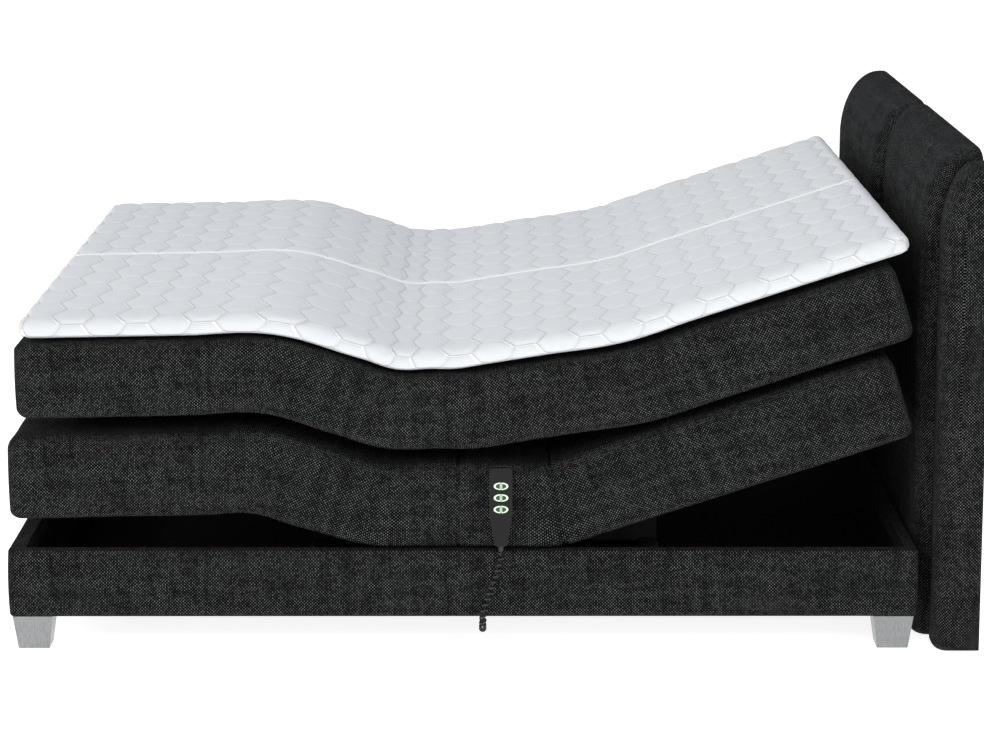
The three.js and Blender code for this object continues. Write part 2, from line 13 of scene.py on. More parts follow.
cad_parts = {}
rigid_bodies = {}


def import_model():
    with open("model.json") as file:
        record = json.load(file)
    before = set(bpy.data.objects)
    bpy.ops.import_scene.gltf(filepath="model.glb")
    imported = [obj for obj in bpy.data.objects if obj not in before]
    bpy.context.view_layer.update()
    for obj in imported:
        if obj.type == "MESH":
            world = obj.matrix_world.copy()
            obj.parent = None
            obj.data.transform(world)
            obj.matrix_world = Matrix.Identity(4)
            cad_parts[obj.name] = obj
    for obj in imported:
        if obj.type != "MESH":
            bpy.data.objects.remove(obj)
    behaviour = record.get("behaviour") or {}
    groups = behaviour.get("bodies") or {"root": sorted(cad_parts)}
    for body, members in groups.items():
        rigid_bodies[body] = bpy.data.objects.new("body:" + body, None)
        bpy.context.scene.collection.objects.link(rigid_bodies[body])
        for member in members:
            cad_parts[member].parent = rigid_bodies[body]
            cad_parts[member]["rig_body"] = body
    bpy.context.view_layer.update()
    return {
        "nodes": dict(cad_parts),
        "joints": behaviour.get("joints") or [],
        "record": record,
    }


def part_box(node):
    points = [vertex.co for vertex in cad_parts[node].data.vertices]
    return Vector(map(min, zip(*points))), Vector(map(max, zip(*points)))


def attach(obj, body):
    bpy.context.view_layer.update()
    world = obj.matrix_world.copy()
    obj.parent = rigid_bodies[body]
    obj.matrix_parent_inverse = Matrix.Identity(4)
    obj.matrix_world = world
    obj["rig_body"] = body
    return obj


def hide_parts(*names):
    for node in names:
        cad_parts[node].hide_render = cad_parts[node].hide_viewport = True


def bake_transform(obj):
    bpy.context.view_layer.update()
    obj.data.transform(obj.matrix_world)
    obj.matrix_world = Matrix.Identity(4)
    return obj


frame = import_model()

JOINTS = {joint["name"]: joint for joint in frame["joints"]}
NODES = frame["nodes"]
MM = 0.001

# ---- camera ----
CAMERA_PLACE = (-0.012, -7.655, 1.957)
CAMERA_TURN = (78.89, 0.0, -0.08)
CAMERA_LENS = 116.27
SENSOR_WIDTH = 36.0

# ---- the curly cord ----
CURL_ROUTE = [
    (17, -909.6, 227.2), (17, -909.6, 219), (16, -910, 210), (12, -910.5, 195), (5, -911, 170),
    (-4, -911, 145), (-13, -911, 120), (-19, -911, 98), (-22, -911, 78), (-23, -908, 63),
    (-23, -896, 50), (-23, -876, 44), (-23, -852, 48), (-22.5, -835, 60), (-22, -828, 74),
    (-22, -828, 86.5),
]
CURL_RADIUS = 6.1 * MM
WIRE_DIAMETER = 4.6 * MM
CURL_PITCH = 13.5 * MM
POINTS_PER_TURN = 20
WIRE_SIDES = 10
CURL_EASE = 9 * MM               # over this length the wire comes out to the full curl
ROUTE_STEPS = 40                 # points between two places of the route


# ---- the flat bed and the stored pose ----
def joint_step(joint, share=1.0):
    """The matrix that takes a joint's child from its flat place to the stored one, or part of the way."""
    axis = Vector(joint["axis"])
    if joint["type"] == "slide":
        return Matrix.Translation(axis * (-joint["range_m"][0] * share))
    origin = Matrix.Translation(Vector(joint["pos_m"]))
    turn = Matrix.Rotation(-math.radians(joint["range_deg"][0]) * share, 4, axis)
    return origin @ turn @ origin.inverted()


def from_flat(body):
    """The matrix that takes a body from the flat bed to the stored pose."""
    joint = next((j for j in JOINTS.values() if j["child"] == body), None)
    if joint is None:
        return Matrix.Identity(4)
    return joint_step(joint) @ from_flat(joint["parent"])


def flat_box(*nodes):
    """The lowest and highest corners of CAD nodes as they lie on the flat bed."""
    points = []
    for node in nodes:
        back = from_flat(NODES[node]["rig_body"]).inverted()
        points += [back @ vertex.co for vertex in NODES[node].data.vertices]
    array = np.array(points, float)
    return array.min(0), array.max(0)


def flat_pivot(joint):
    """Where a joint's pivot is on the flat bed."""
    return from_flat(joint["parent"]).inverted() @ Vector(joint["pos_m"])


def bend(points, joint, half_length, level):
    """Bends flat points across a joint to the stored pose.
    """
    first = from_flat(joint["parent"])
    pivot = flat_pivot(joint)
    side = 1 if pivot.x < flat_side_of(joint) else -1
    near = Vector((pivot.x + side * half_length, 0, level))
    far = Vector((pivot.x - side * half_length, 0, level))
    start = first @ near
    end = joint_step(joint) @ first @ far
    placed = points @ np.array(first.to_3x3()).T + np.array(first.translation)
    origin = np.array(joint["pos_m"], float)
    turn = -math.radians(joint["range_deg"][0]) * joint["axis"][1]
    along = np.array(end - start)

    def turned(share):
        rel = placed - origin
        cos, sin = np.cos(share * turn), np.sin(share * turn)
        moved = rel.copy()
        moved[:, 0] = rel[:, 0] * cos + rel[:, 2] * sin
        moved[:, 2] = rel[:, 2] * cos - rel[:, 0] * sin
        return moved + origin

    def eased(moved):
        t = np.clip((moved - np.array(start)) @ along / (along @ along), 0, 1)
        return t * t * (3 - 2 * t)

    low, high = np.zeros(len(points)), np.ones(len(points))
    for _ in range(40):
        middle = (low + high) / 2
        behind = eased(turned(middle)) < middle
        high = np.where(behind, middle, high)
        low = np.where(behind, low, middle)
    return turned(eased(turned((low + high) / 2))), start, end


def flat_side_of(joint):
    """The flat X of a joint's parent body's middle, which says on which side of the pivot it lies."""
    members = [n for n, o in NODES.items() if o["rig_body"] == joint["parent"]]
    if joint["parent"] == "root":
        members = ["seat_upholstery"]
    low, high = flat_box(*members)
    return (low[0] + high[0]) / 2


def into_scene(name, data):
    """A new object of the scene with a mesh, light or camera as its data."""
    obj = bpy.data.objects.new(name, data)
    bpy.context.scene.collection.objects.link(obj)
    return obj


# ---- meshes from grids ----
def new_piece(name, points, faces, uv=None, sharp=45):
    """A smooth-shaded mesh object from arrays of points and faces, with an optional map of face corners."""
    mesh = bpy.data.meshes.new(name)
    mesh.from_pydata(np.asarray(points).tolist(), [], [list(map(int, face)) for face in faces])
    if uv is not None:
        layer = mesh.uv_layers.new(name="flat")
        layer.data.foreach_set("uv", np.asarray(uv, np.float32).ravel())
    mesh.polygons.foreach_set("use_smooth", np.ones(len(mesh.polygons), bool))
    mesh.set_sharp_from_angle(angle=math.radians(sharp))
    mesh.update()
    return into_scene(name, mesh)


ROUND_LINES = 6                  # grid lines over one rounded edge


def grid_lines(low, high, step, radius_low=0.0, radius_high=0.0, extra=()):
    """Grid positions from low to high, closer together over the rounded edges and with extra lines."""
    angles = np.tan(np.radians(np.linspace(0, 45, ROUND_LINES + 1)))
    inner = [low + radius_low, high - radius_high]
    count = max(1, round((inner[1] - inner[0]) / step))
    lines = list(np.linspace(*inner, count + 1))
    lines = [x for x in lines if all(abs(x - e) > step * 0.35 for e in extra) or x in inner]
    lines += [e for e in extra if inner[0] < e < inner[1]]
    if radius_low:
        lines += list(inner[0] - radius_low * angles[1:])
    if radius_high:
        lines += list(inner[1] + radius_high * angles[1:])
    return np.unique(np.round(lines, 7))


def shell(xs, ys, zs, hollows=()):
    """The closed surface of a block of grid cells without its hollows: points, quads and each quad's axis."""
    shape = (len(xs) - 1, len(ys) - 1, len(zs) - 1)
    full = np.ones(shape, bool)
    middle = [(line[1:] + line[:-1]) / 2 for line in (xs, ys, zs)]
    for low, high in hollows:
        inside = [(m > low[k]) & (m < high[k]) for k, m in enumerate(middle)]
        full[np.ix_(*inside)] = False
    padded = np.pad(full, 1)
    quads, axes = [], []
    number = np.arange((shape[0] + 1) * (shape[1] + 1) * (shape[2] + 1))
    number = number.reshape(shape[0] + 1, shape[1] + 1, shape[2] + 1)
    for axis in range(3):
        a = np.moveaxis(padded, axis, 0)
        a = a[:, 1:-1, 1:-1]
        ids = np.moveaxis(number, axis, 0)
        corners = np.stack([ids[:, :-1, :-1], ids[:, 1:, :-1], ids[:, 1:, 1:], ids[:, :-1, 1:]], -1)
        outward_up = a[:-1] & ~a[1:]
        outward_down = ~a[:-1] & a[1:]
        up, down = corners[outward_up], corners[outward_down]
        if axis == 1:
            up, down = up[:, ::-1], down[:, ::-1]
        quads += [up, down[:, ::-1]]
        axes += [np.full(len(up), axis), np.full(len(down), axis)]
    quads, axes = np.concatenate(quads), np.concatenate(axes)
    points = np.stack(np.meshgrid(xs, ys, zs, indexing="ij"), -1).reshape(-1, 3)
    used, faces = np.unique(quads, return_inverse=True)
    return points[used], faces.reshape(-1, 4), axes


def rounded(points, low, high, radius_low, radius_high):
    """Rounds the edges of a block. Each radius is a vector, and a huge one leaves that end square.

    Returns the new points and the outward direction of those on or near the surface.
    """
    low, high = np.array(low, float), np.array(high, float)
    radius_low, radius_high = np.array(radius_low, float), np.array(radius_high, float)
    core = np.clip(points, low + radius_low, high - radius_high)
    away = points - core
    scale = np.where(away < 0, radius_low, radius_high)
    share = np.abs(away) / np.maximum(scale, 1e-9)
    reach = share.max(1)
    length = np.linalg.norm(share, axis=1)
    ratio = np.where(length > 1e-9, reach / np.maximum(length, 1e-9), 0.0)
    outward = away / np.maximum(scale, 1e-9)
    size = np.linalg.norm(outward, axis=1)
    outward = outward / np.maximum(size, 1e-9)[:, None] * (reach > 0.999)[:, None]
    return core + away * ratio[:, None], outward


def wrapped_map(points, faces, axes, low, high):
    """Cloth coordinates for a block's faces, in metres, running over its edges and down its sides."""
    corner = points[faces]
    x, y, z = corner[..., 0], corner[..., 1], corner[..., 2]
    drop = high[2] - z
    u, v = x.copy(), y.copy()
    side = (axes == 1)[:, None] & np.ones_like(x, bool)
    v = np.where(side, np.sign(y) * (np.abs(y) + drop), v)
    end = (axes == 0)[:, None] & np.ones_like(x, bool)
    middle = (low[0] + high[0]) / 2
    u = np.where(end, x + np.sign(x - middle) * drop, u)
    return np.stack([u, v], -1)


# ---- covers settled as cloth ----
SETTLE_FRAMES = 14
SETTLE_REACH = 2.5 * MM          # no point of a cover moves further than this
FABRIC_MASS = 0.4
FABRIC_STRETCH = 25              # stiffness against stretching and pressing together
FABRIC_BENDING = 2
FILL_PRESSURE = 4.0


def settle(points, faces, free):
    """Lets the filling press a cover out under a cloth simulation, with all but its free points held."""
    mesh = bpy.data.meshes.new("settling")
    mesh.from_pydata(points.tolist(), [], [list(map(int, face)) for face in faces])
    obj = into_scene("settling", mesh)
    scene = bpy.context.scene
    held = obj.vertex_groups.new(name="held")
    held.add(np.flatnonzero(~free).tolist(), 1.0, "REPLACE")
    cloth = obj.modifiers.new("cloth", "CLOTH")
    cloth.settings.quality = 5
    cloth.settings.mass = FABRIC_MASS
    cloth.settings.tension_stiffness = FABRIC_STRETCH
    cloth.settings.compression_stiffness = FABRIC_STRETCH
    cloth.settings.bending_stiffness = FABRIC_BENDING
    cloth.settings.use_pressure = True
    cloth.settings.uniform_pressure_force = FILL_PRESSURE
    cloth.settings.vertex_group_mass = "held"
    cloth.settings.effector_weights.gravity = 0
    cloth.point_cache.frame_start = 1
    cloth.point_cache.frame_end = SETTLE_FRAMES
    for number in range(1, SETTLE_FRAMES + 1):
        scene.frame_set(number)
    shape = obj.evaluated_get(bpy.context.evaluated_depsgraph_get()).data
    settled = np.empty(len(points) * 3, np.float32)
    shape.vertices.foreach_get("co", settled)
    bpy.data.objects.remove(obj)
    bpy.data.meshes.remove(mesh)
    scene.frame_set(1)
    move = settled.reshape(-1, 3) - points
    length = np.linalg.norm(move, axis=1)
    limit = np.minimum(1, SETTLE_REACH / np.maximum(length, 1e-9))
    return points + move * (limit * free)[:, None]


# ---- camera, floor and lights ----
FLOOR_HALF = 45.0
FLOOR_GLOW = 0.88                # the floor's own light, which keeps it white
SKY_COLOUR = (0.93, 0.96, 1.0, 1)
SKY_STRENGTH = 0.42
LIGHTS = (                       # name, place, what it faces, size, watts, colour
    ("key", (-2.2, -6.0, 3.4), (0, -0.4, 0.5), (4.5, 3.0), 106, (1.0, 0.99, 0.97)),
    ("fill", (2.6, -5.0, 1.6), (0.3, -0.4, 0.5), (3.0, 2.5), 50, (0.95, 0.98, 1.0)),
    ("top", (0.6, -0.3, 4.6), (0.1, -0.1, 0.5), (5.0, 3.4), 54, (0.96, 0.98, 1.0)),
    ("side", (-5.5, 0.4, 2.6), (1.0, 0, 0.8), (2.5, 2.0), 78, (0.97, 0.99, 1.0)),
)


def build_camera():
    camera = into_scene("camera", bpy.data.cameras.new("camera"))
    camera.location = CAMERA_PLACE
    camera.rotation_euler = [math.radians(angle) for angle in CAMERA_TURN]
    camera.data.sensor_width = SENSOR_WIDTH
    camera.data.lens = CAMERA_LENS
    camera.data.clip_end = 200
    bpy.context.scene.camera = camera


def area_light(name, place, aim, size, energy, colour):
    light = bpy.data.lights.new(name, "AREA")
    light.shape = "RECTANGLE"
    light.size, light.size_y = size
    light.energy = energy
    light.color = colour
    obj = into_scene(name, light)
    obj.location = place
    obj.rotation_euler = (Vector(aim) - Vector(place)).to_track_quat("-Z", "Y").to_euler()


def build_stage():
    """A white floor, a plain sky and the lights."""
    half = FLOOR_HALF
    floor = new_piece("floor", [(-half, -half, 0), (half, -half, 0), (half, half, 0), (-half, half, 0)],
                      [(0, 1, 2, 3)])
    floor.data.materials.append(floor_material())
    scene = bpy.context.scene
    scene.view_settings.view_transform = "Standard"
    world = bpy.data.worlds.new("studio")
    world.use_nodes = True
    background = world.node_tree.nodes["Background"]
    background.inputs["Color"].default_value = SKY_COLOUR
    background.inputs["Strength"].default_value = SKY_STRENGTH
    scene.world = world
    for light in LIGHTS:
        area_light(*light)


# ---- material helpers ----
class Nodes:
    """A short way to write a material's nodes."""

    def __init__(self, name):
        self.material = bpy.data.materials.new(name)
        self.material.use_nodes = True
        self.tree = self.material.node_tree
        self.shader = self.tree.nodes["Principled BSDF"]

    def new(self, kind, **values):
        node = self.tree.nodes.new(kind)
        for key, value in values.items():
            setattr(node, key, value)
        return node

    def link(self, value, socket):
        if isinstance(value, bpy.types.NodeSocket):
            self.tree.links.new(value, socket)
        else:
            socket.default_value = value

    def math(self, operation, *values):
        node = self.new("ShaderNodeMath", operation=operation)
        for value, socket in zip(values, node.inputs):
            self.link(value, socket)
        return node.outputs[0]

    def plus(self, a, b):
        return self.math("ADD", a, b)

    def minus(self, a, b):
        return self.math("SUBTRACT", a, b)

    def times(self, a, b):
        return self.math("MULTIPLY", a, b)

    def place(self, scale=1.0, source="Object", stretch=(1, 1, 1)):
        coordinates = self.new("ShaderNodeTexCoord")
        mapping = self.new("ShaderNodeMapping")
        mapping.inputs["Scale"].default_value = [scale * s for s in stretch]
        self.link(coordinates.outputs[source], mapping.inputs["Vector"])
        return mapping.outputs[0]

    def split(self, vector):
        node = self.new("ShaderNodeSeparateXYZ")
        self.link(vector, node.inputs[0])
        return node.outputs

    def join(self, x, y, z=0.0):
        node = self.new("ShaderNodeCombineXYZ")
        for value, socket in zip((x, y, z), node.inputs):
            self.link(value, socket)
        return node.outputs[0]

    def noise(self, vector, detail=2.0, roughness=0.5):
        node = self.new("ShaderNodeTexNoise")
        self.link(vector, node.inputs["Vector"])
        node.inputs["Scale"].default_value = 1.0
        node.inputs["Detail"].default_value = detail
        node.inputs["Roughness"].default_value = roughness
        return node.outputs["Fac"]

    def chance(self, vector):
        node = self.new("ShaderNodeTexWhiteNoise", noise_dimensions="3D")
        self.link(vector, node.inputs["Vector"])
        return node.outputs["Value"]

    def span(self, value, from_low, from_high, to_low, to_high, smooth=False):
        node = self.new("ShaderNodeMapRange")
        if smooth:
            node.interpolation_type = "SMOOTHSTEP"
        for item, socket in zip((value, from_low, from_high, to_low, to_high), node.inputs):
            self.link(item, socket)
        return node.outputs[0]

    def mix(self, share, a, b):
        node = self.new("ShaderNodeMix", data_type="RGBA")
        self.link(share, node.inputs["Factor"])
        for value, socket in ((a, node.inputs[6]), (b, node.inputs[7])):
            self.link(value, socket)
        return node.outputs[2]

    def bump(self, height, distance, strength=1.0, after=None):
        node = self.new("ShaderNodeBump")
        node.inputs["Distance"].default_value = distance
        node.inputs["Strength"].default_value = strength
        self.link(height, node.inputs["Height"])
        if after is not None:
            self.link(after, node.inputs["Normal"])
        return node.outputs[0]

    def finish(self, colour, roughness, normal=None, **constants):
        self.link(colour, self.shader.inputs["Base Color"])
        self.link(roughness, self.shader.inputs["Roughness"])
        if normal is not None:
            self.link(normal, self.shader.inputs["Normal"])
        for name, value in constants.items():
            self.shader.inputs[name.replace("_", " ")].default_value = value
        return self.material


def grey(value, tint=(1, 1, 1)):
    return (value * tint[0], value * tint[1], value * tint[2], 1)


def floor_material():
    n = Nodes("pale_floor")
    n.shader.inputs["Emission Color"].default_value = (1, 1, 1, 1)
    n.shader.inputs["Emission Strength"].default_value = FLOOR_GLOW
    grain = n.noise(n.place(6.0), detail=3)
    return n.finish(n.mix(n.span(grain, 0.3, 0.7, 0, 1), grey(0.80), grey(0.84)), 0.9)


# ---- fabric ----
THREAD = 3.5 * MM                # from one thread of the weave to the next


def charcoal_material():
    """A dark plain weave whose warp threads are flecked with light grey."""
    n = Nodes("charcoal_weave")
    x, y, _ = n.split(n.place(1 / THREAD, "UV"))
    column, row = n.math("FLOOR", x), n.math("FLOOR", y)
    along, across = n.math("FRACT", x), n.math("FRACT", y)
    over = n.math("PINGPONG", n.plus(column, row), 1.0)
    hump_x = n.math("SINE", n.times(along, math.pi))
    hump_y = n.math("SINE", n.times(across, math.pi))
    warp = n.times(hump_x, n.plus(n.times(hump_y, 0.5), 0.5))
    weft = n.times(hump_y, n.plus(n.times(hump_x, 0.5), 0.5))
    height = n.plus(n.times(warp, over), n.times(weft, n.minus(1.0, over)))
    luck = n.chance(n.join(column, row))
    fleck = n.times(over, n.span(luck, 0, 1, 0.25, 1.0))
    fleck = n.times(fleck, n.span(warp, 0.38, 0.85, 0.0, 1.0))
    slubs = n.noise(n.join(n.times(x, 0.02), n.times(y, 0.16)), detail=3)
    bands = n.noise(n.join(n.times(x, 0.16), n.times(y, 0.02), 7.0), detail=3)
    uneven = n.span(n.plus(slubs, bands), 0.75, 1.25, 0.55, 1.35)
    colour = n.mix(n.times(fleck, uneven), grey(0.0006, (1, 1, 1.04)), grey(0.178, (0.98, 1, 1)))
    worn = n.noise(n.place(9.0), detail=4)
    colour = n.mix(n.span(worn, 0.4, 0.75, 0.0, 0.03), colour, grey(0.03))
    normal = n.bump(height, 0.9 * MM, 0.8)
    normal = n.bump(n.noise(n.place(7.0), detail=2), 1.5 * MM, 0.3, normal)
    return n.finish(colour, n.span(luck, 0, 1, 0.86, 0.97), normal, Specular_IOR_Level=0.03,
                    Sheen_Weight=0.01, Sheen_Roughness=0.6)


# ---- layers that bend ----
STEP = {"box": 22 * MM, "mattress": 22 * MM, "topper": 7 * MM}       # grid size of each layer
# From the foot end: each joint, half the length over which the layer bends there, and the CAD nodes covered.
LAYERS = {
    "box": [("knee_hinge", 0.10, ["calf_upholstery"]), ("thigh_hinge", 0.10, ["thigh_upholstery"]),
            ("back_hinge", 0.08, ["seat_upholstery", "back_upholstery"])],
    "mattress": [("bed_knee_bend", 0.14, ["mattress_calf"]), ("bed_thigh_bend", 0.12, ["mattress_thigh"]),
                 ("mattress_lumbar_bend", 0.08, ["mattress_seat", "mattress_lumbar"]),
                 ("mattress_back_bend", 0.16, ["mattress_back"])],
    "topper": [("bed_knee_bend", 0.16, ["topper_calf"]), ("bed_thigh_bend", 0.10, ["topper_thigh"]),
               ("topper_lumbar_bend", 0.055, ["topper_seat", "topper_lumbar"]),
               ("topper_back_bend", 0.16, ["topper_back"])],
}
PIECE_NAMES = {"knee_hinge": "calf", "thigh_hinge": "thigh", "back_hinge": "back", "bed_knee_bend": "calf",
               "bed_thigh_bend": "thigh", "mattress_lumbar_bend": "lumbar", "topper_lumbar_bend": "lumbar",
               "mattress_back_bend": "back", "topper_back_bend": "back"}
FAR = 99.0                       # further than anything here reaches
SEAM_KEEP = 12 * MM              # the covers are held this close to a seam and to where two pieces meet


def smooth_noise(points, scale, seed):
    """A soft random height, about -1 to 1, from a few fixed waves."""
    rng = np.random.default_rng(seed)
    total = np.zeros(len(points))
    for _ in range(7):
        wave = rng.normal(size=3) / scale
        total += np.sin(points @ wave + rng.uniform(0, 2 * math.pi))
    return total / 3.5


def make_cover(piece, material, slot, *nodes):
    """Gives a piece its material and hides the CAD nodes that it covers."""
    piece.data.materials.append(material)
    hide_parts(*nodes)


def build_layer(layer, radius_low, radius_high, relief, material, slot, hollows=(), seams=(), extra_x=(),
                extra_y=(), extra_z=()):
    """Draws a layer flat, one closed piece for each joint, and bends each to the stored pose."""
    joints = LAYERS[layer]
    low, high = flat_box(*[node for _, _, nodes in joints for node in nodes])
    zones = []
    for name, half, _ in joints:
        x = flat_pivot(JOINTS[name]).x
        zones.append((x - half, x + half))
    cuts = [low[0]] + [(a[1] + b[0]) / 2 for a, b in zip(zones, zones[1:])] + [high[0]]
    step = STEP[layer]
    ys = grid_lines(low[1], high[1], step, radius_low[1], radius_high[1], extra_y)
    zs = grid_lines(low[2], high[2], max(step, 20 * MM), radius_low[2], radius_high[2], extra_z)
    for i, (name, half, nodes) in enumerate(joints):
        first, last = i == 0, i == len(joints) - 1
        xs = grid_lines(cuts[i], cuts[i + 1], step, radius_low[0] if first else 0,
                        radius_high[0] if last else 0, extra_x)
        flat, faces, axes = shell(xs, ys, zs, hollows)
        uv = wrapped_map(flat, faces, axes, low, high)
        ends_low = np.where([True, False, False], low - np.array([0 if first else FAR, 0, 0]), low)
        ends_high = np.where([True, False, False], high + np.array([0 if last else FAR, 0, 0]), high)
        points, outward = rounded(flat, ends_low, ends_high, radius_low, radius_high)
        points = points + outward * relief(points, flat, outward, low, high)[:, None]
        if layer != "topper":
            sides = np.abs(outward[:, 2]) < 0.5
            held_x = np.array([cuts[i], cuts[i + 1], *seams])
            inland = np.abs(points[:, :1] - held_x).min(1) > SEAM_KEEP
            points = settle(points, faces, sides & inland & (np.abs(outward).max(1) > 0.5))
        joint = JOINTS[name]
        level = (low[2] + high[2]) / 2
        placed, start, end = bend(points, joint, half, level)
        piece = new_piece(f"{layer}_{PIECE_NAMES[name]}_cover", placed, faces, uv)
        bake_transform(piece)
        make_cover(piece, material, slot, *nodes)


SEAMS = (-0.077, 0.129)                # the upright seams of the box, on the flat bed
DECK_LOW = (-1.033, -0.858, -1.0)      # the frames' room under the box sections, on the flat bed
DECK_HIGH = (0.888, 0.858, 0.2845)
EAR_Y = (0.282, 0.330)                 # and the hinge ears' room above it
EAR_HALF = 80 * MM
EAR_RISE = 21 * MM
BOX_CROWN = 3 * MM
BOX_SINK = 1.5 * MM                    # how far the cover lies inside the CAD block
SEAM_DEPTH = 6 * MM                    # of the groove along a seam
SEAM_WIDTH = 4 * MM
MATTRESS_CROWN = 2 * MM
MATTRESS_SINK = 3.8 * MM


# Each relief gives how far the rounded points move outward. flat holds the same points before rounding.
def box_relief(points, flat, outward, low, high):
    height = (points[:, 2] - low[2]) / (high[2] - low[2])
    crown = BOX_CROWN * (1 - (2 * height - 1) ** 2) * np.abs(outward[:, 1])
    seam = sum(np.exp(-((points[:, 0] - x) / SEAM_WIDTH) ** 2) for x in SEAMS)
    return crown - SEAM_DEPTH * seam + 1.2 * MM * smooth_noise(points, 0.09, 3) - BOX_SINK


def mattress_relief(points, flat, outward, low, high):
    height = (points[:, 2] - low[2]) / (high[2] - low[2])
    crown = MATTRESS_CROWN * (1 - (2 * height - 1) ** 2) * (np.abs(outward[:, 1]) + np.abs(outward[:, 0]))
    return crown + 0.7 * MM * smooth_noise(points, 0.11, 5) - MATTRESS_SINK


# ---- quilting ----
QUILT_COLUMN = 71 * MM           # from one column of cells to the next
QUILT_ROW = 170 * MM             # from one cell to the next across the bed
QUILT_SIDE = 75 * MM             # the same over the rounded edge, where the cells are drawn in
QUILT_EDGE = 0.86                # where the cells of the top end, from the middle of the bed
CELL_POINT = 0.67                # half of a cell's length, in columns
CELL_FLAT = 0.33                 # half of its straight side
SEAM_HALF = 12 * MM
PUFF = 6.5 * MM
PUFF_REACH = 26 * MM
RIDGE_HEIGHT = 5 * MM            # the cord over the middle seam
RIDGE_HALF = 9 * MM
TOPPER_SINK = 3.5 * MM
KNIT_ALONG = 2.4 * MM            # one stitch of the cover
KNIT_ACROSS = 3.2 * MM
LINE_WIDTH = 5 * MM              # of a stitched line


def cell_distance(u, v):
    """How far inside its quilted cell a cloth point is, in metres."""
    inside = QUILT_EDGE - np.abs(v)
    row = 0.5 + np.minimum(inside, 0) / QUILT_SIDE + np.maximum(inside, 0) / QUILT_ROW
    column = u / QUILT_COLUMN
    best = np.full(u.shape, -9.0)
    for shift_column, shift_row in ((0, 0), (1, 0.5)):
        dx = np.abs(column - shift_column - 2 * np.round((column - shift_column) / 2))
        dy = np.abs(row - shift_row - np.round(row - shift_row))
        to_flat = (0.5 - dy) * QUILT_ROW
        to_slant = (CELL_POINT - (CELL_POINT - CELL_FLAT) * 2 * dy - dx) * QUILT_COLUMN * 0.93
        best = np.maximum(best, np.minimum(to_flat, to_slant))
    return np.minimum(best, np.abs(v) - SEAM_HALF)


def topper_relief(points, flat, outward, low, high):
    """The puffed cells and the middle ridge, worked out in the cloth's own coordinates."""
    drop = high[2] - flat[:, 2]
    on_side = np.abs(np.abs(flat[:, 1]) - high[1]) < 1e-6
    on_end = (np.abs(flat[:, 0] - low[0]) < 1e-6) | (np.abs(flat[:, 0] - high[0]) < 1e-6)
    v = np.where(on_side, np.sign(flat[:, 1]) * (np.abs(flat[:, 1]) + drop), flat[:, 1])
    u = np.where(on_end & ~on_side, flat[:, 0] + np.sign(flat[:, 0]) * drop, flat[:, 0])
    distance = np.maximum(cell_distance(u, v), 0)
    share = np.clip(distance / PUFF_REACH, 0, 1)
    puff = PUFF * np.sqrt(1 - (1 - share) ** 2)
    ridge = RIDGE_HEIGHT * np.clip(1 - (v / RIDGE_HALF) ** 2, 0, 1)
    return (puff + ridge) * (outward[:, 2] > -0.5) - TOPPER_SINK


